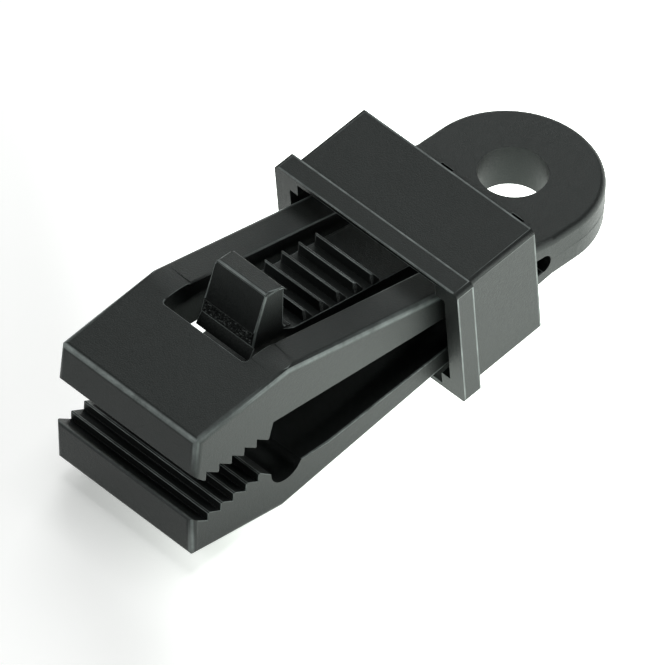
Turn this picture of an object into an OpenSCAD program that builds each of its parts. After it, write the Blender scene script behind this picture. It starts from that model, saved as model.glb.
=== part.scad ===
// Tarp clip: a spring clip body in one moulding and the collar that slides along it to shut the jaws.
// The origin is the centre of the eye. +X runs from the jaws to the eye, +Z is up, and the jaws lie at -X.
// Every "reach" is a distance from the eye's centre towards the jaws.

/* [Body] */
// Width of the moulded body, jaws and tail alike
body_w = 27; // [25:0.1:27.6]
// Radius of the long outer edges and of the tail's rims
edge_r = 1; // [0.5:0.1:1.2]
// Thickness of the flat tail plate
tail_t = 7.2; // [6.6:0.1:7.6]
// Reach at which the arms start to rise from the tail plate
neck_reach = 5.4; // [5:0.1:6]
// Reach of the line where both arms bend
hinge_reach = 14; // [13:0.5:15]
// Radius of the upright corners of the jaw tips
corner_r = 1.2; // [0.6:0.1:2]

/* [Eye] */
// Diameter of the hole in the tail
eye_d = 10.2; // [8:0.1:11]
// How far the round end of the tail is centred in front of the hole
eye_setback = 0.55; // [0:0.05:1]

/* [Jaws] */
// Reach of the jaw tips
tip_reach = 75.9; // [75.4:0.1:77]
// Reach of the knee, where each arm is tallest
knee_reach = 58; // [57:0.5:59]
// Height of the knee above the middle of the body
knee_h = 13.5; // [12.8:0.1:13.6]
// Radius of the bend at the knee
knee_r = 14; // [2:1:20]
// Height of the outer edge of a jaw tip above the middle
tip_h = 11; // [10.4:0.1:11.4]
// Radius of the outer edge of a jaw tip
tip_r = 1; // [0.3:0.1:1.2]
// Height of the inner edge of the upper jaw tip
upper_lip_h = 4.75; // [4.6:0.05:4.9]
// Depth of the inner edge of the lower jaw tip
lower_lip_h = 3.5; // [3.4:0.05:3.8]

/* [Slit between the arms] */
// Radius of the round end of the slit, in the tail
slit_r = 1.5; // [1.2:0.1:1.6]
// Reach of the centre of the slit's round end
slit_reach = 7.5; // [7.2:0.1:7.8]
// Height of the upper arm's inner face where its teeth start
roof_h = 5.05; // [4.9:0.05:5.2]
// Depth of the lower arm's inner face beside the bead groove
floor_h = 6.2; // [6.1:0.05:6.4]
// Reach at which the lower arm's inner face turns level
floor_reach = 49.2; // [48:0.2:50]

/* [Teeth] */
// Distance from one tooth to the next
tooth_pitch = 2.4; // [2.2:0.05:2.45]
// Depth of a tooth
tooth_depth = 1.4; // [1:0.1:1.5]
// Width of the flat at the point of a tooth
tooth_flat = 0.35; // [0.2:0.05:0.5]
// Reach of the rear face of the last upper tooth
upper_tooth_reach = 61.5; // [61.3:0.1:61.7]
// Height of the point of the last upper tooth
upper_tooth_h = 2.35; // [2.2:0.05:2.5]
// Slope of the line of upper points, rising to the tip
upper_bite_angle = 2; // [1.5:0.1:2.5]
// Reach of the front face of the last lower tooth
lower_tooth_reach = 63.25; // [63.1:0.05:63.3]
// Depth of the point of the last lower tooth
lower_tooth_h = 3.35; // [3.3:0.05:3.6]
// Slope of the line of lower points, falling to the tip
lower_bite_angle = 5.7; // [5.2:0.1:6.2]
// Radius of the bead groove behind the lower teeth
groove_r = 3; // [2.6:0.1:3.2]
// Reach of the centre of the bead groove
groove_reach = 57.7; // [57.5:0.05:57.8]
// Depth of the centre of the bead groove
groove_h = 5.1; // [5:0.05:5.4]

/* [Latch tongue] */
// Width of the window in the upper arm
window_w = 16.1; // [15:0.1:17]
// Reach of the front edge of the window
window_reach = 61.4; // [61:0.1:62]
// Radius of the front corners of the window
window_r = 0.7; // [0.3:0.1:1]
// Reach of the rear ends of the two long slits
slit_back_reach = 5.95; // [5.7:0.05:6.8]
// Width of the tongue along its ribs
tongue_w = 11.6; // [11:0.1:12]
// Width of the tongue at its nose
nose_w = 10.4; // [9.6:0.1:10.6]
// Thickness of the tongue
tongue_t = 2.4; // [1.8:0.1:2.6]
// Reach of the tongue's front lip
lip_reach = 56.7; // [56.4:0.1:57]
// Height of the tongue's front lip
lip_h = 10.5; // [10.2:0.1:10.7]
// How far the nose slopes forward below the lip
nose_l = 0.9; // [0.4:0.1:1.4]
// Height of the sloping nose, as a share of the tongue's thickness
nose_share = 0.85; // [0.5:0.05:0.9]
// Slope of the tongue, rising to its front
tongue_angle = 8; // [7.6:0.1:8.2]
// Number of ratchet ribs
rib_count = 5; // [3:1:5]
// Distance from one rib to the next
rib_pitch = 3.33; // [3.1:0.05:3.35]
// Reach of the front face of the rearmost rib
rib_reach = 34.1; // [33.8:0.1:34.3]
// Length of a rib across the tongue
rib_w = 11.3; // [10:0.1:11.6]
// Radius of the corners at a rib's ends
rib_corner_r = 0.4; // [0.2:0.05:0.8]
// Height of a rib above the tongue
rib_h = 1.85; // [1.4:0.05:1.9]
// Length of a rib at its foot
rib_l = 1.9; // [1.6:0.1:2]
// Length of the flat on top of a rib
rib_flat = 0.4; // [0.3:0.1:0.5]

/* [Thumb button] */
// Reach of the button's top front edge
button_reach = 54.4; // [54.2:0.1:54.6]
// Height of the button's top front edge
button_h = 19.05; // [17:0.05:19.4]
// Length of the button's top
button_l = 3.5; // [3:0.1:4]
// Slope of the button's top, falling to the rear
button_angle = 11; // [8:1:14]
// Width of the button's top
button_w = 9.8; // [9:0.1:9.9]
// How far the button's front face runs forward as it goes down
button_rake = 1.6; // [0.8:0.1:1.8]
// How far each side of the button spreads as it goes down
button_draft = 0.3; // [0.1:0.05:0.3]
// Radius of the button's upper edges
button_r = 0.9; // [0.4:0.1:1.2]
// Radius of the fillet at the button's rear foot
foot_r = 1.4; // [0.8:0.1:1.6]

/* [Collar] */
// Length of the collar
collar_l = 16.3; // [15:0.1:17]
// Gap between each side of the body and the inside of the collar
side_gap = 1.6; // [0.6:0.1:1.8]
// Thickness of the collar's side walls behind its flange
side_wall = 1.7; // [1.5:0.1:2.2]
// Gap between the collar's mouth and the lower arm
mouth_gap = 0.12; // [0.12:0.01:0.2]
// Thickness of the collar's top and bottom behind its flange
flat_wall = 2.15; // [2:0.05:2.4]
// Radius of the collar's long edges
collar_r = 0.8; // [0.4:0.1:1.2]
// Length of the front flange
flange_l = 3.2; // [2.6:0.1:4]
// How far the flange stands out
flange_step = 1.05; // [0.8:0.05:1.2]
// Reach of the middle of the collar's front face, as the photograph shows it
collar_reach = 28.3; // [27.8:0.1:28.6]
// Height of the middle of the collar's front face
collar_lift = 0.32; // [0.3:0.01:0.34]
// Tilt of the collar, nose down, lying along the lower arm
collar_tilt = 7.9; // [7.6:0.1:8.1]
// How far the lead-in in the collar's mouth stays away from its inner sides
lead_inset = 1.7; // [1.4:0.1:1.7]
// Length of the lead-in
lead_l = 2; // [1.5:0.1:2.5]
// Thickness of the collar's front edge over the lead-in
lead_edge = 0.9; // [0.7:0.1:1.2]
// Gap between each side of the tongue and the channel that lets its ribs pass
channel_gap = 1.6; // [0.7:0.1:1.7]
// Thickness of the collar's roof over the channel
channel_roof = 0.9; // [0.8:0.05:1]
// How far the pawl's tip hangs below the roof of the channel
pawl_drop = 0.3; // [0.1:0.05:0.35]
// Length of the pawl's tip
pawl_l = 0.6; // [0.4:0.1:0.8]
// Distance of the pawl's steep rear face from the collar's front
pawl_reach = 2.2; // [2.1:0.1:2.3]
// How much deeper the pocket behind the pawl is than the channel
pocket_depth = 0.3; // [0.1:0.1:0.4]

/* [Hidden] */
// Gap between an arm's round end and its seat in the neck
seat_gap = 0.05;
// How far every cut runs past the faces that it cuts
overrun = 1;
// Steps in each rounded corner of an outline
corner_steps = 6;
// Flats in the round of each long edge of the body
edge_steps = 4;
$fn = 96;
plastic = [0.16, 0.18, 0.17];

tail_h = tail_t / 2;
arm_rise = (knee_h - tail_h) / (knee_reach - neck_reach);
body_l = tip_reach + body_w;

// Height of an arm's outer face at a reach
function outer_h(reach) = tail_h + arm_rise * (reach - neck_reach);
// Height of the upper arm's inner face at a reach
roof_rise = (roof_h - slit_r) / (upper_tooth_reach - slit_reach);
function roof_at(reach) = slit_r + roof_rise * (reach - slit_reach);
// Height of the lower arm's inner face at a reach
floor_fall = (floor_h - slit_r) / (floor_reach - slit_reach);
function floor_at(reach) = -slit_r - floor_fall * (reach - slit_reach);
// Height of the tongue's upper face at a reach, flush with the arm where it bends
function tongue_top(reach) = outer_h(hinge_reach) + tan(tongue_angle) * (reach - hinge_reach);

// The collar's inside clears the body, and its mouth rests on the lower arm
bore_w = body_w + side_gap * 2;
bore_h = (outer_h(collar_reach) + collar_lift + mouth_gap) * 2;
collar_w = bore_w + side_wall * 2;
collar_h = bore_h + flat_wall * 2;
lead_w = bore_w - lead_inset * 2;
channel_w = tongue_w + channel_gap * 2;

// The round ends of the arms: centre heights and radii
upper_seat_z = (outer_h(hinge_reach) + roof_at(hinge_reach)) / 2;
upper_seat_r = (outer_h(hinge_reach) - roof_at(hinge_reach)) / 2;
lower_seat_z = (floor_at(hinge_reach) - outer_h(hinge_reach)) / 2;
lower_seat_r = (floor_at(hinge_reach) + outer_h(hinge_reach)) / 2;
arm_slope = atan(arm_rise);
tip_slope = atan((knee_h - tip_h) / (tip_reach - knee_reach));

// Points of an arc that rounds the corner at b between a and c
function unit(v) = v / norm(v);
function corner_arc(a, b, c, r) =
    let (
        u = unit(a - b),
        v = unit(c - b),
        half = acos(u * v) / 2,
        back = r / tan(half),
        centre = b + unit(u + v) * r / sin(half),
        from = b + u * back - centre,
        to = b + v * back - centre,
        start = atan2(from.y, from.x),
        turn = atan2(from.x * to.y - from.y * to.x, from * to)
    )
    [for (i = [0:corner_steps])
        let (angle = start + turn * i / corner_steps)
        centre + r * [cos(angle), sin(angle)]];
// An outline from corners [x, z, radius]; a radius of 0 keeps the corner sharp
function rounded_outline(corners) =
    let (n = len(corners))
    [for (i = [0:n - 1])
        let (
            a = [corners[(i + n - 1) % n].x, corners[(i + n - 1) % n].y],
            b = [corners[i].x, corners[i].y],
            c = [corners[(i + 1) % n].x, corners[(i + 1) % n].y]
        )
        each (corners[i].z > 0 ? corner_arc(a, b, c, corners[i].z) : [b])];

// A side outline drawn in X and Z, made solid across Y
module across(outline, width) {
    rotate([90, 0, 0]) linear_extrude(height = width, center = true) polygon(outline);
}

// A round bar across the body
module cross_bar(reach, z, r, width) {
    translate([-reach, 0, z]) rotate([90, 0, 0]) cylinder(h = width, r = r, center = true);
}

// A rectangle centred on the origin with true round corners
module round_rect(w, h, r) {
    square([w - r * 2, h], center = true);
    square([w, h - r * 2], center = true);
    for (x = [-1, 1], y = [-1, 1]) translate([x * (w / 2 - r), y * (h / 2 - r)]) circle(r = r);
}

// The plan of a jaw: round at the tip's two corners and open to the rear
module jaw_plan() {
    linear_extrude(height = body_l, center = true) {
        translate([corner_r - tip_reach, -body_w / 2]) square([tip_reach, body_w]);
        translate([-tip_reach, corner_r - body_w / 2]) square([tip_reach, body_w - corner_r * 2]);
        for (side = [-1, 1]) {
            translate([corner_r - tip_reach, side * (body_w / 2 - corner_r)]) circle(r = corner_r);
        }
    }
}

// Points of the body's rounded edge, from its side up onto a face at a height. Short flats make up the round,
// so that the edges of two sloping faces meet in clean mitres.
function edge_arc(height) =
    [for (i = [0:edge_steps])
        let (angle = 90 * i / edge_steps)
        [body_w / 2 - edge_r + edge_r * cos(angle), height - edge_r + edge_r * sin(angle)]];
function mirrored(points, signs) =
    [for (i = [len(points) - 1:-1:0]) [points[i].x * signs.x, points[i].y * signs.y]];

// The same edge on a face at height 0, with its lowest flat run on past the body's side
function edge_cut() =
    let (arc = edge_arc(0), out = arc[0] * 2 - arc[1])
    concat([[out.x, -body_l], out], [for (i = [1:edge_steps]) arc[i]]);

// The space under an outer face that passes through a height at a reach and slopes up to the jaws at an angle,
// with both of its long edges rounded
module under_face(reach, height, angle) {
    translate([-reach, 0, height]) rotate([0, angle, 0]) rotate([90, 0, 90])
        linear_extrude(height = body_l * 2, center = true)
            polygon(concat(edge_cut(), mirrored(edge_cut(), [-1, 1])));
}

// One side of the flat plate's section, from its middle to its rounded edges
module plate_section() {
    polygon(concat(
        [[0, -tail_h]],
        mirrored(edge_arc(tail_h), [1, -1]),
        edge_arc(tail_h),
        [[0, tail_h]]
    ));
}

// All the space that the upper arm and its jaw may fill
module arm_space() {
    intersection() {
        jaw_plan();
        under_face(neck_reach, tail_h, arm_slope);
        under_face(knee_reach, knee_h, -tip_slope);
    }
}

// The tail plate's eye end, with the neck up to the bend and the end of the slit between the arms
module tail_eye() {
    color(plastic) difference() {
        union() {
            translate([-eye_setback, 0, 0]) rotate([0, 0, -90]) rotate_extrude(angle = 180) plate_section();
            translate([-neck_reach - edge_r, 0, 0]) rotate([90, 0, 90])
                linear_extrude(height = neck_reach + edge_r - eye_setback) {
                    plate_section();
                    mirror([1, 0]) plate_section();
                }
            intersection() {
                translate([-hinge_reach, -body_w / 2, -knee_h])
                    cube([hinge_reach - eye_setback, body_w, knee_h * 2]);
                under_face(neck_reach, tail_h, arm_slope);
                mirror([0, 0, 1]) under_face(neck_reach, tail_h, arm_slope);
            }
        }
        cylinder(h = tail_t + overrun * 2, d = eye_d, center = true);
        cross_bar(slit_reach, 0, slit_r, body_w + overrun * 2);
        across([
            [-slit_reach, slit_r],
            [-slit_reach, -slit_r],
            [-hinge_reach - overrun, floor_at(hinge_reach + overrun)],
            [-hinge_reach - overrun, roof_at(hinge_reach + overrun)]
        ], body_w + overrun * 2);
        for (side = [-1, 1]) {
            translate([-hinge_reach - overrun, side * (window_w + tongue_w) / 4, 0]) {
                translate([0, -(window_w - tongue_w) / 4, 0])
                    cube([hinge_reach + overrun - slit_back_reach, (window_w - tongue_w) / 2, tail_t]);
            }
        }
        cross_bar(hinge_reach, upper_seat_z, upper_seat_r + seat_gap, body_w + overrun * 2);
        cross_bar(hinge_reach, lower_seat_z, lower_seat_r + seat_gap, body_w + overrun * 2);
    }
}

// Upper teeth: each slopes down to its point and rises straight behind it, from the tip to the rear
function upper_point_h(reach) = upper_tooth_h + tan(upper_bite_angle) * (reach - upper_tooth_reach);
upper_teeth = floor((tip_reach - upper_tooth_reach) / tooth_pitch);
function upper_teeth_line() =
    [for (i = [upper_teeth - 1:-1:0])
        let (reach = upper_tooth_reach + tooth_pitch * i, point = upper_point_h(reach))
        each [
            [-reach - tooth_flat, point],
            [-reach, point],
            [-reach + (i > 0 ? 0 : tooth_flat * 2), i > 0 ? point + tooth_depth : roof_h]
        ]];

// Lower teeth: each rises straight at its front and slopes down behind its point
function lower_point_h(reach) = -lower_tooth_h - tan(lower_bite_angle) * (reach - lower_tooth_reach);
lower_teeth = floor((tip_reach - lower_tooth_reach) / tooth_pitch);
function lower_teeth_line() =
    [for (i = [lower_teeth - 1:-1:0])
        let (reach = lower_tooth_reach + tooth_pitch * i, point = lower_point_h(reach))
        each [
            [-reach, point - tooth_depth],
            [-reach, point],
            [-reach + tooth_flat, point]
        ]];

// The upper arm: serrated jaw, two side rails and the window between them
module upper_jaw() {
    color(plastic) difference() {
        intersection() {
            union() {
                across(rounded_outline(concat(
                    [
                        [-hinge_reach, outer_h(hinge_reach), 0],
                        [-knee_reach, knee_h, knee_r],
                        [-tip_reach, tip_h, tip_r],
                        [-tip_reach, upper_lip_h, tooth_flat]
                    ],
                    [for (p = upper_teeth_line()) [p.x, p.y, 0]],
                    [[-hinge_reach, roof_at(hinge_reach), 0]]
                )), body_w + overrun);
                cross_bar(hinge_reach, upper_seat_z, upper_seat_r * cos(arm_slope), body_w + overrun);
            }
            arm_space();
        }
        window();
    }
}

// The window that the tongue lies in, open to the rear
module window() {
    linear_extrude(height = body_l, center = true) {
        translate([-window_reach, -window_w / 2 + window_r]) square([window_reach, window_w - window_r * 2]);
        translate([-window_reach + window_r, -window_w / 2]) square([window_reach, window_w]);
        for (side = [-1, 1]) {
            translate([-window_reach + window_r, side * (window_w / 2 - window_r)]) circle(r = window_r);
        }
    }
}

// The lower arm: serrated jaw, half-round bead groove and a solid arm
module lower_jaw() {
    color(plastic) difference() {
        intersection() {
            union() {
                across(rounded_outline(concat(
                    [
                        [-hinge_reach, -outer_h(hinge_reach), 0],
                        [-knee_reach, -knee_h, knee_r],
                        [-tip_reach, -tip_h, tip_r],
                        [-tip_reach, -lower_lip_h, tooth_flat]
                    ],
                    [for (p = lower_teeth_line()) [p.x, p.y, 0]],
                    [
                        [-groove_reach - groove_r, -groove_h, 0],
                        [-groove_reach + groove_r, -floor_h, 0],
                        [-floor_reach, -floor_h, 0],
                        [-hinge_reach, floor_at(hinge_reach), 0]
                    ]
                )), body_w + overrun);
                cross_bar(hinge_reach, lower_seat_z, lower_seat_r * cos(arm_slope), body_w + overrun);
            }
            mirror([0, 0, 1]) arm_space();
        }
        cross_bar(groove_reach, -groove_h, groove_r, body_w + overrun * 2);
    }
}

// One ratchet rib: steep in front and sloping behind, with rounded corners
module rib(reach) {
    root_z = tongue_top(reach) - tongue_t / 2;
    top_z = tongue_top(reach) + rib_h;
    intersection() {
        across([
            [-reach, root_z],
            [-reach, top_z],
            [-reach + rib_flat, top_z],
            [-reach + rib_l, tongue_top(reach - rib_l)],
            [-reach + rib_l, root_z]
        ], rib_w + overrun);
        translate([-reach + rib_l / 2, 0, 0]) linear_extrude(height = button_h)
            round_rect(rib_l, rib_w, rib_corner_r);
    }
}

// The thumb button: raked front, sloping top and drafted sides
module thumb_button() {
    foot_reach = button_reach - button_l;
    foot_z = tongue_top(foot_reach);
    button_top_h = button_h - tan(button_angle) * button_l;
    root_z = lip_h - tongue_t / 2;
    side_h = button_h - root_z;
    intersection() {
        union() {
            across(rounded_outline([
                [-button_reach - button_rake, root_z, 0],
                [-button_reach, button_h, button_r / 2],
                [-foot_reach, button_top_h, button_r / 2],
                [-foot_reach, root_z, 0]
            ]), body_w);
            difference() {
                across([
                    [-foot_reach - foot_r, root_z],
                    [-foot_reach - foot_r, foot_z + foot_r],
                    [-foot_reach, foot_z + foot_r],
                    [-foot_reach + foot_r, foot_z],
                    [-foot_reach + foot_r, root_z]
                ], body_w);
                cross_bar(foot_reach - foot_r, foot_z + foot_r, foot_r, body_w + overrun);
            }
        }
        rotate([90, 0, 90]) linear_extrude(height = body_l * 2, center = true) polygon(rounded_outline([
            [-button_w / 2 - button_draft, root_z, 0],
            [button_w / 2 + button_draft, root_z, 0],
            [button_w / 2, button_h, button_r],
            [-button_w / 2, button_h, button_r]
        ]));
    }
}

// The tongue between the slits: it bends at the arms' bend and carries the ribs and the button
module latch_tongue() {
    shoulder_reach = button_reach - button_l - foot_r;
    color(plastic) {
        intersection() {
            across([
                [-hinge_reach, tongue_top(hinge_reach)],
                [-shoulder_reach, tongue_top(shoulder_reach)],
                [-shoulder_reach - foot_r, lip_h],
                [-lip_reach, lip_h],
                [-lip_reach - nose_l, lip_h - tongue_t * nose_share],
                [-lip_reach - nose_l + tongue_t / 2, lip_h - tongue_t],
                [-shoulder_reach, tongue_top(shoulder_reach) - tongue_t],
                [-rib_reach, tongue_top(rib_reach) - tongue_t],
                [-hinge_reach, roof_at(hinge_reach)]
            ], tongue_w);
            linear_extrude(height = body_l, center = true) polygon([
                [-hinge_reach, tongue_w / 2],
                [-shoulder_reach, tongue_w / 2],
                [-shoulder_reach - foot_r, nose_w / 2],
                [-lip_reach - nose_l, nose_w / 2],
                [-lip_reach - nose_l, -nose_w / 2],
                [-shoulder_reach - foot_r, -nose_w / 2],
                [-shoulder_reach, -tongue_w / 2],
                [-hinge_reach, -tongue_w / 2]
            ]);
        }
        cross_bar(hinge_reach, upper_seat_z, upper_seat_r * cos(arm_slope), tongue_w);
        for (i = [0:rib_count - 1]) rib(rib_reach + rib_pitch * i);
        thumb_button();
    }
}

// The sleeve that slides over both arms, drawn along its own axis and then laid over the arms
module slide_collar() {
    roof_z = collar_h / 2 - channel_roof;
    pawl_z = roof_z - pawl_drop;
    front_z = collar_h / 2 + flange_step;
    color(plastic) translate([-collar_reach, 0, collar_lift]) rotate([0, -collar_tilt, 0]) difference() {
        union() {
            rotate([90, 0, 90]) linear_extrude(height = collar_l) round_rect(collar_w, collar_h, collar_r);
            rotate([90, 0, 90]) linear_extrude(height = flange_l)
                round_rect(collar_w + flange_step * 2, collar_h + flange_step * 2, collar_r);
        }
        translate([-overrun, -bore_w / 2, -bore_h / 2]) cube([collar_l + overrun * 2, bore_w, bore_h]);
        for (side = [1, -1]) {
            across([
                [-overrun, 0],
                [-overrun, side * (front_z - lead_edge)],
                [0, side * (front_z - lead_edge)],
                [lead_l, side * bore_h / 2],
                [lead_l, 0]
            ], lead_w);
        }
        across([
            [-overrun, 0],
            [-overrun, front_z - lead_edge],
            [0, front_z - lead_edge],
            [pawl_reach - pawl_l, pawl_z],
            [pawl_reach, pawl_z],
            [pawl_reach, roof_z + pocket_depth],
            [flange_l, roof_z + pocket_depth],
            [flange_l, roof_z],
            [collar_l + overrun, roof_z],
            [collar_l + overrun, 0]
        ], channel_w);
    }
}

tail_eye();
upper_jaw();
lower_jaw();
latch_tongue();
slide_collar();
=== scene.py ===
import itertools
import math
import random

import bmesh
import bpy
from mathutils import Matrix, Vector
from mathutils.geometry import intersect_point_line
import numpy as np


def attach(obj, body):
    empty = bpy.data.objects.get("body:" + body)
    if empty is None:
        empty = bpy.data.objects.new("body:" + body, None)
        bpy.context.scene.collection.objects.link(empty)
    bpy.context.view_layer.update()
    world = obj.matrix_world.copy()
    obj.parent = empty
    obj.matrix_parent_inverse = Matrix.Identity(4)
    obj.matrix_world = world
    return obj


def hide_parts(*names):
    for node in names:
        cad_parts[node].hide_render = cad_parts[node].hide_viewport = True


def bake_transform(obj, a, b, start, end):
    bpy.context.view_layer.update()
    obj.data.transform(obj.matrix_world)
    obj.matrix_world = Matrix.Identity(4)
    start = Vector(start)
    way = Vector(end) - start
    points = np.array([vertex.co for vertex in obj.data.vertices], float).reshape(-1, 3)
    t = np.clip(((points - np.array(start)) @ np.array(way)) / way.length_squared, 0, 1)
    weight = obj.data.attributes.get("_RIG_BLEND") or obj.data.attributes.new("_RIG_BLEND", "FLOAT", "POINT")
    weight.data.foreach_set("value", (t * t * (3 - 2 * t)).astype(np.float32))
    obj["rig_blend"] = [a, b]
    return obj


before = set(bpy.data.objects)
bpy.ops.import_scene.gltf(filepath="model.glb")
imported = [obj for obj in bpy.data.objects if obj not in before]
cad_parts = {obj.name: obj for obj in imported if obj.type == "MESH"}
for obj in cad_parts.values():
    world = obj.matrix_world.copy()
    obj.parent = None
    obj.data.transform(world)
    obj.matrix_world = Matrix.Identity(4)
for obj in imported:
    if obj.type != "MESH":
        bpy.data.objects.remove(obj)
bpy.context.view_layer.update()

MM = 0.001

# Cleaning of the CAD meshes: points nearer than WELD are one, faces that turn less than FLAT_ANGLE are one
WELD = 0.002 * MM
FLAT_ANGLE = math.radians(0.6)
CUT_SNAP = 1e-8

# Edges: the mould leaves them slightly rounded, and the long ones more, where both faces have room for it.
# Edges up to SHORT_EDGE, the steps of curved outlines, stay as they are
SHARP_ANGLE = math.radians(28)
SHORT_EDGE = 0.6 * MM
EDGE_ROUND = 0.12 * MM
LONG_EDGE = 5.0 * MM
LONG_EDGE_ROUND = 0.32 * MM
ROOM_SHARE = 2.6
EDGE_SEGMENTS = 4
SHADING_ANGLE = math.radians(34)
LEVEL_WEIGHT = 60

# Wear and painted highlight: crests are painted lighter, as rubbed plastic and as the bright line that light
# draws along them, fully up to CREST_SHARE of the round's width from the crest and not at all past
# RIM_SHARE. A face whose area over its outline's length is past WIDE_FACE is wide, and takes none of it
WEAR_AND_HIGHLIGHT = "edge_wear_and_highlight"
CREST_SHARE = 0.6
RIM_SHARE = 0.95
WIDE_FACE = 0.3 * MM

# The rounds that the CAD solids already have run between two large outer faces that are nearly square
BODY_ROUND = 1.0 * MM
COLLAR_ROUND = 0.8 * MM
BUTTON_ROUND = 0.9 * MM
LARGE_FACE = 15 * MM * MM
OFF_PLANE = 0.02 * MM
NEARLY_SQUARE = 0.6
PLANE_DIGITS = 3
# Their crests are painted lighter, as wear and as a highlight, fully up to CAD_CREST_SHARE of the radius and
# not at all past CAD_RIM_SHARE
CAD_CREST_SHARE = 0.45
CAD_RIM_SHARE = 0.62

# The arms bend over this stretch in front of the neck
FLEX_START = -14.0 * MM
FLEX_END = -22.0 * MM
FLEX_CUTS = 12

# Draft of the jaws, as on any moulding: away from the middle plane their outer sides lean in and their tips
# lean back. The tips turn about the height TIP_DRAFT_MIDDLE
SIDE_DRAFT = 0.012
SIDE_DRAFT_FROM = 4.0 * MM
RAIL_INNER_Y = 8.3 * MM
TIP_DRAFT = 0.06
TIP_DRAFT_MIDDLE = 7.5 * MM
TIP_DRAFT_BACK = -70.0 * MM
TIP_DRAFT_FRONT = -75.0 * MM

# The upper rim of the window's front wall has a round of its own
WINDOW_ROUND = 0.2 * MM
WINDOW_FRONT = -61.4 * MM
WINDOW_NEAR = 0.8 * MM
WINDOW_HALF = 8.05 * MM
WINDOW_ABOVE = 8.0 * MM

# The thumb button's front, in X and Z: the foot of its face, the lip under the rough band, and the lip's
# underside. The CAD solid has a plain ledge there, at LIP_TOP and in front of LIP_BEFORE
LIP_TOP = 10.5 * MM
LIP_BEFORE = -55.0 * MM
FACE_FOOT = (-56.3 * MM, 12.85 * MM)
LIP = (-56.75 * MM, 10.6 * MM)
LIP_UNDER = (-56.5 * MM, 10.3 * MM)
FACE_FOOT_HALF = 5.05 * MM
LIP_HALF = 5.13 * MM
NEW_POINT_SHARE = 0.3

# The rim of the button's sides: in front of BUTTON_BACK, outside BUTTON_SIDE, on a face that looks SIDEWAYS
BUTTON_RIM_ROUND = 0.3 * MM
BUTTON_SIDE = 4.8 * MM
BUTTON_BACK = -50.3 * MM
SIDEWAYS = 0.9

# The mould's parting line, a faint ridge round the tail at half its thickness. It is left out in the eye and
# on the faces that look towards the jaws or aren't upright
PARTING_HALF = 0.12 * MM
PARTING_RISE = 0.05 * MM
EYE_RADIUS = 5.1 * MM
EYE_SKIRT = 1.2 * MM
UPRIGHT = 0.2
TOWARDS_JAWS = -0.5

# The rough band across the foot of the button: a grid of BAND_STEP whose points stand proud by chance
BAND_STEP = 0.13 * MM
BAND_PROUD = 0.1 * MM
BAND_RISE = 0.16 * MM
BAND_DIP_SHARE = 0.2
BAND_SINK = 0.25 * MM
BAND_INSET = 0.12 * MM
BAND_SEED = 7

# Camera: where the photograph was taken from, turned about X, Y and Z by these degrees
CAMERA_AT = (-0.946999, -0.840549, 1.209438)
CAMERA_TURN = (45.5655, -2.3271, -45.0444)
SENSOR = 36.0
LENS = 676.25
CLIP_START = 0.05
CLIP_END = 20

# Black plastic: its own colour with a lighter and a darker tone, and the faint green of its gloss
PLASTIC_BLACK = (0.0055, 0.0063, 0.0061)
DARK_TONE = 0.6
LIGHT_TONE = 1.5
DARK_UP_TO = 0.3
LIGHT_FROM = 0.72
SPECK_SHARE = 0.75
SHEEN_TINT = (0.90, 1.0, 0.96, 1.0)
SPECULAR_LEVEL = 0.3
REFRACTION = 1.49
ROUGHNESS = (0.42, 0.52)
ROUGHNESS_OVER = (0.3, 0.7)
# Wear and painted highlight on the crests: the base colour times WEAR_AND_HIGHLIGHT_LIGHTENS, a touch
# glossier by WEAR_AND_HIGHLIGHT_SMOOTHS, in patches
WEAR_AND_HIGHLIGHT_LIGHTENS = 28
WEAR_AND_HIGHLIGHT_SMOOTHS = -0.10
WEAR_AND_HIGHLIGHT_PATCHES = (0.45, 1.0)
WEAR_AND_HIGHLIGHT_PATCHES_OVER = (0.35, 0.65)
GRAIN_STRENGTH = 0.8
GRAIN_HEIGHT = 0.05 * MM

# Noises as scale, detail and roughness: the melt's flow, dust-fine specks, the mould's grain, the patches of
# the wear and painted highlight
CLOUDS = (90.0, 4.0, 0.6)
SPECKS = (3200.0, 2.0, 0.6)
GRAIN = (4200.0, 3.0, 0.65)
PATCHES = (260.0, 3.0, 0.7)

# Floor: the clip lies on the knee of its lower arm and on the collar's front flange. It is a light table
# that shines on the clip's near side: along the direction GLOW_TOWARDS it is dim up to GLOW_FROM, and full
# from GLOW_TO on
FLOOR_AT = (-58.0 * MM, 0, -13.7 * MM)
FLOOR_TILT = math.radians(5.1)
FLOOR_HALF = 3.0
FLOOR_COLOUR = (0.92, 0.92, 0.92, 1)
FLOOR_ROUGHNESS = 0.8
GLOW_COLOUR = (0.94, 1, 0.94, 1)
FLOOR_GLOW = (0.2, 2.6)
GLOW_TOWARDS = math.radians(-36)
GLOW_FROM = -20.0 * MM
GLOW_TO = 40.0 * MM

# Soft lamps that look at the middle of the clip: azimuth and elevation in degrees, width and height, watts
MIDDLE = (-30.0 * MM, 0, 0)
LAMP_DISTANCE = 1.2
LAMPS = {
    "side_panel": (-46, 14, (1.5, 0.6), 10.0),
    "rim_box": (145, 32, (0.7, 0.5), 6.5),
    "back_box": (41, 44, (0.6, 0.6), 4.0),
    "top_box": (0, 89, (0.6, 0.6), 5.0),
}
ROOM_LIGHT = 0.05


def share_between(value, start, end):
    """How far a value lies from start to end, from 0 to 1."""
    return min(max((value - start) / (end - start), 0.0), 1.0)


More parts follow.
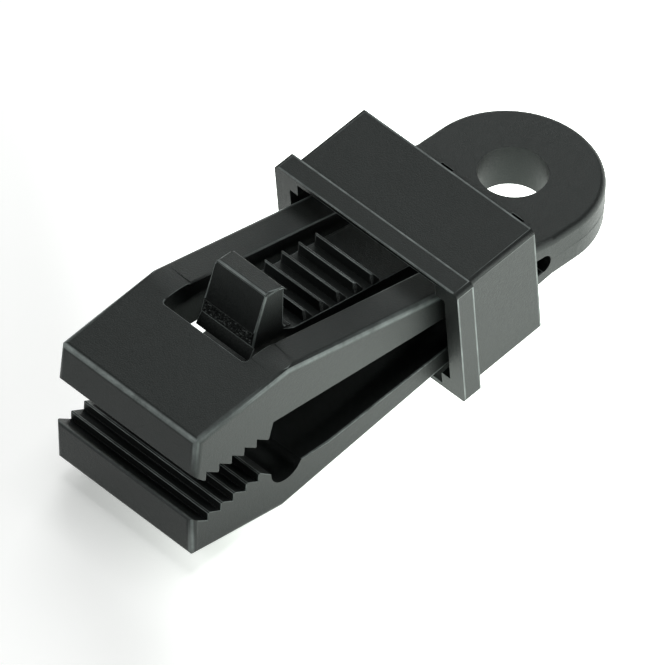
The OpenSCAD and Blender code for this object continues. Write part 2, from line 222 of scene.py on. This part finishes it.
def plastic(name, base):
    """Moulded black plastic: fine spark-eroded grain, soft sheen, slight wear and a painted highlight on the
    edges.
    """
    mat = bpy.data.materials.new(name)
    mat.use_nodes = True
    nodes, links = mat.node_tree.nodes, mat.node_tree.links
    coord = nodes.new("ShaderNodeTexCoord")
    bsdf = nodes["Principled BSDF"]
    bsdf.inputs["Specular IOR Level"].default_value = SPECULAR_LEVEL
    bsdf.inputs["Specular Tint"].default_value = SHEEN_TINT
    bsdf.inputs["IOR"].default_value = REFRACTION

    def noise(scale, detail, rough):
        node = nodes.new("ShaderNodeTexNoise")
        node.inputs["Scale"].default_value = scale
        node.inputs["Detail"].default_value = detail
        node.inputs["Roughness"].default_value = rough
        links.new(coord.outputs["Object"], node.inputs["Vector"])
        return node.outputs["Fac"]

    def ramp(source, over, to):
        node = nodes.new("ShaderNodeMapRange")
        node.inputs["From Min"].default_value, node.inputs["From Max"].default_value = over
        node.inputs["To Min"].default_value, node.inputs["To Max"].default_value = to
        links.new(source, node.inputs["Value"])
        return node.outputs["Result"]

    def arithmetic(operation, *terms):
        node = nodes.new("ShaderNodeMath")
        node.operation = operation
        for term, socket in zip(terms, node.inputs):
            if isinstance(term, bpy.types.NodeSocket):
                links.new(term, socket)
            else:
                socket.default_value = term
        return node.outputs["Value"]

    speck = noise(*SPECKS)

    # Colour: a slight cloudiness from the melt's flow, and dust-fine specks
    clouds = arithmetic("MULTIPLY", noise(*CLOUDS), 1 - SPECK_SHARE)
    mottle = arithmetic("MULTIPLY_ADD", speck, SPECK_SHARE, clouds)
    tone = nodes.new("ShaderNodeValToRGB")
    dark, light = tone.color_ramp.elements
    dark.position, light.position = DARK_UP_TO, LIGHT_FROM
    dark.color = [c * DARK_TONE for c in base] + [1.0]
    light.color = [c * LIGHT_TONE for c in base] + [1.0]
    links.new(mottle, tone.inputs["Fac"])

    # Wear and painted highlight: the crests are painted lighter, in patches, as rubbed plastic and as the
    # bright line that light draws along them
    crest_attribute = nodes.new("ShaderNodeAttribute")
    crest_attribute.attribute_name = WEAR_AND_HIGHLIGHT
    patches = ramp(noise(*PATCHES), WEAR_AND_HIGHLIGHT_PATCHES_OVER, WEAR_AND_HIGHLIGHT_PATCHES)
    lightened_crests = arithmetic("MULTIPLY", crest_attribute.outputs["Fac"], patches)
    crest_lightening = nodes.new("ShaderNodeMix")
    crest_lightening.data_type = "RGBA"
    crest_lightening.inputs["B"].default_value = [c * WEAR_AND_HIGHLIGHT_LIGHTENS for c in base] + [1.0]
    links.new(lightened_crests, crest_lightening.inputs["Factor"])
    links.new(tone.outputs["Color"], crest_lightening.inputs["A"])
    links.new(crest_lightening.outputs["Result"], bsdf.inputs["Base Color"])

    # Roughness: matte, uneven with the specks, and the lightened crests a touch glossier
    rough = ramp(speck, ROUGHNESS_OVER, ROUGHNESS)
    links.new(arithmetic("MULTIPLY_ADD", lightened_crests, WEAR_AND_HIGHLIGHT_SMOOTHS, rough), bsdf.inputs["Roughness"])

    # Bump: the grain of the mould
    bump = nodes.new("ShaderNodeBump")
    bump.inputs["Strength"].default_value = GRAIN_STRENGTH
    bump.inputs["Distance"].default_value = GRAIN_HEIGHT
    links.new(noise(*GRAIN), bump.inputs["Height"])
    links.new(bump.outputs["Normal"], bsdf.inputs["Normal"])
    return mat


def new_mesh():
    """An empty mesh that can hold how much painted wear and highlight each of its points takes."""
    bm = bmesh.new()
    bm.verts.layers.float.new(WEAR_AND_HIGHLIGHT)
    return bm


def welded_copy(node):
    """The CAD node's own mesh, welded and with its flat faces whole again, ready for work on its edges."""
    bm = new_mesh()
    bm.from_mesh(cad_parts[node].data)
    bmesh.ops.remove_doubles(bm, verts=bm.verts, dist=WELD)
    bmesh.ops.dissolve_degenerate(bm, edges=bm.edges, dist=WELD)
    bmesh.ops.dissolve_limit(
        bm,
        angle_limit=FLAT_ANGLE,
        use_dissolve_boundaries=False,
        verts=bm.verts,
        edges=bm.edges,
    )
    return bm


def cut(bm, axis, place):
    """Cuts the mesh along the plane where an axis has one value."""
    normal = [0, 0, 0]
    normal[axis] = 1
    bmesh.ops.bisect_plane(
        bm,
        geom=bm.verts[:] + bm.edges[:] + bm.faces[:],
        dist=CUT_SNAP,
        plane_co=[n * place for n in normal],
        plane_no=normal,
    )


def cut_where_it_flexes(bm):
    """Cuts the mesh into slices across X in front of the neck, so that it can bend smoothly there."""
    for i in range(FLEX_CUTS + 1):
        cut(bm, 0, FLEX_START + (FLEX_END - FLEX_START) * i / FLEX_CUTS)


def blend_at_neck(piece, root, tip):
    """Lets a piece bend from one body to the next over the stretch in front of the neck."""
    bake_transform(piece, root, tip, start=(FLEX_START, 0, 0), end=(FLEX_END, 0, 0))


def gap_to_edge(point, start, end):
    """How far a point lies from an edge between two points."""
    share = intersect_point_line(point, start, end)[1]
    return (point - start.lerp(end, min(max(share, 0.0), 1.0))).length


def on_wide_face(vert):
    """True for a point of a wide face, which isn't lightened: the painted wear and highlight would spread
    across the face.
    """
    return any(f.calc_area() > WIDE_FACE * f.calc_perimeter() for f in vert.link_faces)


def round_edges(bm, width, where):
    """Rounds the chosen ones of the edges with a clear angle, and paints their crests lighter, as wear and
    as a highlight.
    """
    sharp = [
        e for e in bm.edges
        if len(e.link_faces) == 2 and e.calc_face_angle(0.0) > SHARP_ANGLE and where(e)
    ]
    crests = [(e.verts[0].co.copy(), e.verts[1].co.copy()) for e in sharp if e.is_convex]
    made = bmesh.ops.bevel(
        bm,
        geom=sharp,
        offset=width,
        offset_type="OFFSET",
        segments=EDGE_SEGMENTS,
        profile=0.5,
        affect="EDGES",
        clamp_overlap=False,
        loop_slide=True,
    )
    crest_lightening = bm.verts.layers.float[WEAR_AND_HIGHLIGHT]
    for v in made["verts"]:
        if on_wide_face(v):
            continue
        gap = min((gap_to_edge(v.co, *crest) for crest in crests), default=width)
        v[crest_lightening] = 1 - share_between(gap / width, CREST_SHARE, RIM_SHARE)


def is_roomy(edge):
    """True for a long convex edge whose two faces are wide enough for the larger round."""
    length = edge.calc_length()
    return length > LONG_EDGE and edge.is_convex and all(
        f.calc_area() / length > ROOM_SHARE * LONG_EDGE_ROUND for f in edge.link_faces
    )


def is_not_short(edge):
    """True for all edges but the small steps of curved outlines."""
    return edge.calc_length() > SHORT_EDGE


def soften_edges(bm):
    """Rounds the long edges, then the others."""
    round_edges(bm, LONG_EDGE_ROUND, is_roomy)
    round_edges(bm, EDGE_ROUND, is_not_short)


def outer_planes(bm):
    """The normal and the distance of each large face that nothing of the mesh stands out from."""
    planes = {}
    for f in bm.faces:
        away = f.verts[0].co.dot(f.normal)
        if f.calc_area() > LARGE_FACE and all(away - v.co.dot(f.normal) > -OFF_PLANE for v in bm.verts):
            key = tuple(round(value, PLANE_DIGITS) for value in (*f.normal, away / MM))
            planes[key] = (f.normal.copy(), away)
    return planes.values()


def mark_cad_rounds(bm, radius):
    """Paints the crests of the CAD solid's own rounds lighter, as wear and as a highlight, by how near they
    are to two outer faces.
    """
    planes = outer_planes(bm)
    crest_lightening = bm.verts.layers.float[WEAR_AND_HIGHLIGHT]
    for v in bm.verts:
        if on_wide_face(v):
            continue
        near = [(away - v.co.dot(normal), normal) for normal, away in planes]
        near = [(depth, normal) for depth, normal in near if OFF_PLANE < depth < radius]
        gaps = [
            math.hypot(first[0], second[0]) for first, second in itertools.combinations(near, 2)
            if first[1].dot(second[1]) < NEARLY_SQUARE
        ]
        if gaps:
            v[crest_lightening] = 1 - share_between(min(gaps) / radius, CAD_CREST_SHARE, CAD_RIM_SHARE)


def finish_piece(bm, name, node, material):
    """Turns the edited mesh into a shown piece, which stands for its CAD node if it has one."""
    bmesh.ops.recalc_face_normals(bm, faces=bm.faces)
    mesh = bpy.data.meshes.new(name)
    bm.to_mesh(mesh)
    bm.free()
    for polygon in mesh.polygons:
        polygon.use_smooth = True
    mesh.set_sharp_from_angle(angle=SHADING_ANGLE)
    mesh.materials.append(material)
    piece = bpy.data.objects.new(name, mesh)
    bpy.context.scene.collection.objects.link(piece)
    level = piece.modifiers.new("level", "WEIGHTED_NORMAL")
    level.keep_sharp = True
    level.weight = LEVEL_WEIGHT
    if node is not None:
        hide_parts(node)
    return piece


def raise_parting_line(bm):
    """Raises the parting line round the tail's side."""
    for z in (-PARTING_HALF, 0.0, PARTING_HALF):
        cut(bm, 2, z)
    bm.normal_update()
    for v in bm.verts:
        far_from_eye = math.hypot(v.co.x, v.co.y) > EYE_RADIUS + EYE_SKIRT
        on_side = all(abs(f.normal.z) < UPRIGHT and f.normal.x > TOWARDS_JAWS for f in v.link_faces)
        if abs(v.co.z) < WELD and far_from_eye and on_side:
            v.co += v.normal * PARTING_RISE


def tail(material):
    """The round-ended plate with the eye."""
    bm = welded_copy("tail_eye")
    mark_cad_rounds(bm, BODY_ROUND)
    soften_edges(bm)
    raise_parting_line(bm)
    piece = finish_piece(bm, "tail_moulding", "tail_eye", material)
    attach(piece, "tail")


def at_window_front(edge):
    """True for the upper rim of the window's front wall."""
    return edge.is_convex and all(
        abs(v.co.x - WINDOW_FRONT) < WINDOW_NEAR
        and abs(v.co.y) < WINDOW_HALF + WELD
        and v.co.z > WINDOW_ABOVE
        for v in edge.verts
    )


def draft_jaw(bm):
    """Gives a jaw's outer sides and its tip their draft."""
    for axis, places in ((2, (-SIDE_DRAFT_FROM, SIDE_DRAFT_FROM)), (0, (TIP_DRAFT_BACK, TIP_DRAFT_FRONT))):
        for place in places:
            cut(bm, axis, place)
    for v in bm.verts:
        if abs(v.co.y) > RAIL_INNER_Y:
            lean = SIDE_DRAFT * max(abs(v.co.z) - SIDE_DRAFT_FROM, 0.0)
            v.co.y -= math.copysign(lean, v.co.y)
        at_tip = share_between(v.co.x, TIP_DRAFT_BACK, TIP_DRAFT_FRONT)
        v.co.x += TIP_DRAFT * (abs(v.co.z) - TIP_DRAFT_MIDDLE) * at_tip


def arm(node, name, body, material):
    """One jaw with its arm, which bends in front of the neck."""
    bm = welded_copy(node)
    mark_cad_rounds(bm, BODY_ROUND)
    round_edges(bm, WINDOW_ROUND, at_window_front)
    soften_edges(bm)
    draft_jaw(bm)
    cut_where_it_flexes(bm)
    piece = finish_piece(bm, name, node, material)
    blend_at_neck(piece, "tail", body)


def split_at(face, first, second):
    """Cuts a face along the line between two of its corners."""
    if bmesh.utils.face_split(face, first, second) is None:
        raise RuntimeError("a face at the button's front was not cut")


def put(vert, place, half):
    """Moves a point to a place in X and Z, at half a width on its own side of the middle."""
    vert.co = (place[0], math.copysign(half, vert.co.y), place[1])


def shape_button_front(bm):
    """Rakes the button's front down to a crease, a band nearly upright under it, and the lip under that."""
    ledge = [v for v in bm.verts if abs(v.co.z - LIP_TOP) < WELD and v.co.x < LIP_BEFORE]
    feet = sorted((v for v in ledge if v.co.x > LIP_UNDER[0]), key=lambda v: v.co.y)
    lips = sorted((v for v in ledge if v not in feet), key=lambda v: v.co.y)
    noses = [
        next(e.other_vert(lip) for e in lip.link_edges if e.other_vert(lip).co.z < LIP_TOP - WELD)
        for lip in lips
    ]
    top = next(f for f in feet[0].link_faces if lips[0] in f.verts)
    split_at(top, feet[0], lips[0])
    top = next(f for f in feet[1].link_faces if lips[1] in f.verts and feet[0] in f.verts)
    split_at(top, feet[1], lips[1])
    unders = []
    for lip, nose in zip(lips, noses):
        edge = next(e for e in lip.link_edges if e.other_vert(lip) is nose)
        unders.append(bmesh.utils.edge_split(edge, lip, NEW_POINT_SHARE)[1])
    split_at(next(f for f in unders[0].link_faces if unders[1] in f.verts), *unders)
    for side in (0, 1):
        put(feet[side], FACE_FOOT, FACE_FOOT_HALF)
        put(lips[side], LIP, LIP_HALF)
        put(unders[side], LIP_UNDER, LIP_HALF)


def is_button_rim(edge):
    """True for the rim of the button's two sides."""
    return edge.is_convex and all(
        v.co.x < BUTTON_BACK and v.co.z > LIP[1] - WELD and abs(v.co.y) > BUTTON_SIDE for v in edge.verts
    ) and any(abs(f.normal.y) > SIDEWAYS for f in edge.link_faces)


def tongue(material):
    """The latch tongue with its ribs and its thumb button, which bends in front of the neck."""
    bm = welded_copy("latch_tongue")
    shape_button_front(bm)
    bm.normal_update()
    mark_cad_rounds(bm, BUTTON_ROUND)
    round_edges(bm, BUTTON_RIM_ROUND, is_button_rim)
    round_edges(bm, EDGE_ROUND, is_not_short)
    cut_where_it_flexes(bm)
    piece = finish_piece(bm, "tongue_moulding", "latch_tongue", material)
    blend_at_neck(piece, "upper", "tongue")


def rough_band(material):
    """The rough band across the foot of the button: fine, irregular, and sunk a little into the tongue."""
    rng = random.Random(BAND_SEED)
    low, high = Vector((LIP[0], 0, LIP[1])), Vector((FACE_FOOT[0], 0, FACE_FOOT[1]))
    up = (high - low).normalized()
    out = Vector((-up.z, 0, up.x))
    low, high = low + up * 2 * BAND_INSET, high - up * BAND_INSET
    half = FACE_FOOT_HALF - BUTTON_RIM_ROUND
    rows = round((high - low).length / BAND_STEP)
    columns = round(2 * half / BAND_STEP)
    bm = new_mesh()
    grid = []
    for i in range(rows + 1):
        row = []
        for j in range(columns + 1):
            on_rim = i in (0, rows) or j in (0, columns)
            rise = -BAND_SINK if on_rim else BAND_PROUD + BAND_RISE * (rng.random() ** 2 - BAND_DIP_SHARE)
            at = low.lerp(high, i / rows) + out * rise
            at.y = half * (2 * j / columns - 1)
            row.append(bm.verts.new(at))
        grid.append(row)
    for i in range(rows):
        for j in range(columns):
            bm.faces.new((grid[i][j], grid[i][j + 1], grid[i + 1][j + 1], grid[i + 1][j]))
    bmesh.ops.contextual_create(bm, geom=[e for e in bm.edges if e.is_boundary])
    strip = finish_piece(bm, "button_band", None, material)
    blend_at_neck(strip, "upper", "tongue")


def collar(material):
    """The slide collar."""
    bm = welded_copy("slide_collar")
    mark_cad_rounds(bm, COLLAR_ROUND)
    soften_edges(bm)
    piece = finish_piece(bm, "collar_moulding", "slide_collar", material)
    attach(piece, "collar")


def camera():
    """The photograph's own camera."""
    data = bpy.data.cameras.new("photo_camera")
    data.sensor_fit = "HORIZONTAL"
    data.sensor_width = SENSOR
    data.lens = LENS
    data.clip_start = CLIP_START
    data.clip_end = CLIP_END
    cam = bpy.data.objects.new("photo_camera", data)
    cam.location = CAMERA_AT
    cam.rotation_euler = [math.radians(turn) for turn in CAMERA_TURN]
    bpy.context.scene.collection.objects.link(cam)
    bpy.context.scene.camera = cam


def floor():
    """A pale matte sheet that the clip lies on, far larger than the view."""
    mesh = bpy.data.meshes.new("floor")
    corners = [(x * FLOOR_HALF, y * FLOOR_HALF, 0) for x, y in ((-1, -1), (1, -1), (1, 1), (-1, 1))]
    mesh.from_pydata(corners, [], [(0, 1, 2, 3)])
    sheet = bpy.data.objects.new("floor", mesh)
    sheet.matrix_world = Matrix.Translation(FLOOR_AT) @ Matrix.Rotation(-FLOOR_TILT, 4, "Y")
    mat = bpy.data.materials.new("floor_white")
    mat.use_nodes = True
    nodes, links = mat.node_tree.nodes, mat.node_tree.links
    bsdf = nodes["Principled BSDF"]
    bsdf.inputs["Base Color"].default_value = FLOOR_COLOUR
    bsdf.inputs["Roughness"].default_value = FLOOR_ROUGHNESS
    bsdf.inputs["Emission Color"].default_value = GLOW_COLOUR
    coord = nodes.new("ShaderNodeTexCoord")
    along = nodes.new("ShaderNodeVectorMath")
    along.operation = "DOT_PRODUCT"
    along.inputs[1].default_value = (math.cos(GLOW_TOWARDS), math.sin(GLOW_TOWARDS), 0)
    links.new(coord.outputs["Object"], along.inputs[0])
    glow = nodes.new("ShaderNodeMapRange")
    glow.interpolation_type = "SMOOTHSTEP"
    glow.inputs["From Min"].default_value = GLOW_FROM
    glow.inputs["From Max"].default_value = GLOW_TO
    glow.inputs["To Min"].default_value, glow.inputs["To Max"].default_value = FLOOR_GLOW
    links.new(along.outputs["Value"], glow.inputs["Value"])
    links.new(glow.outputs["Result"], bsdf.inputs["Emission Strength"])
    mesh.materials.append(mat)
    bpy.context.scene.collection.objects.link(sheet)


def softbox(name, azimuth, elevation, size, power):
    """A soft lamp that looks at the clip from an azimuth and an elevation, in degrees."""
    data = bpy.data.lights.new(name, "AREA")
    data.shape = "RECTANGLE"
    data.size, data.size_y = size
    data.energy = power
    turn, rise = math.radians(azimuth), math.radians(elevation)
    towards = Vector((math.cos(rise) * math.cos(turn), math.cos(rise) * math.sin(turn), math.sin(rise)))
    lamp = bpy.data.objects.new(name, data)
    lamp.location = Vector(MIDDLE) + towards * LAMP_DISTANCE
    lamp.rotation_euler = towards.to_track_quat("Z", "Y").to_euler()
    bpy.context.scene.collection.objects.link(lamp)


def lights():
    """The studio: a faint even light from the room, and the soft lamps."""
    world = bpy.data.worlds.new("studio")
    world.use_nodes = True
    background = world.node_tree.nodes["Background"]
    background.inputs["Color"].default_value = (1, 1, 1, 1)
    background.inputs["Strength"].default_value = ROOM_LIGHT
    bpy.context.scene.world = world
    for name, settings in LAMPS.items():
        softbox(name, *settings)


bpy.context.scene.view_settings.view_transform = "Standard"
body_plastic = plastic("body_plastic", PLASTIC_BLACK)
collar_plastic = plastic("collar_plastic", PLASTIC_BLACK)
camera()
tail(body_plastic)
arm("upper_jaw", "upper_arm_moulding", "upper", body_plastic)
arm("lower_jaw", "lower_arm_moulding", "lower", body_plastic)
tongue(body_plastic)
rough_band(body_plastic)
collar(collar_plastic)
floor()
lights()
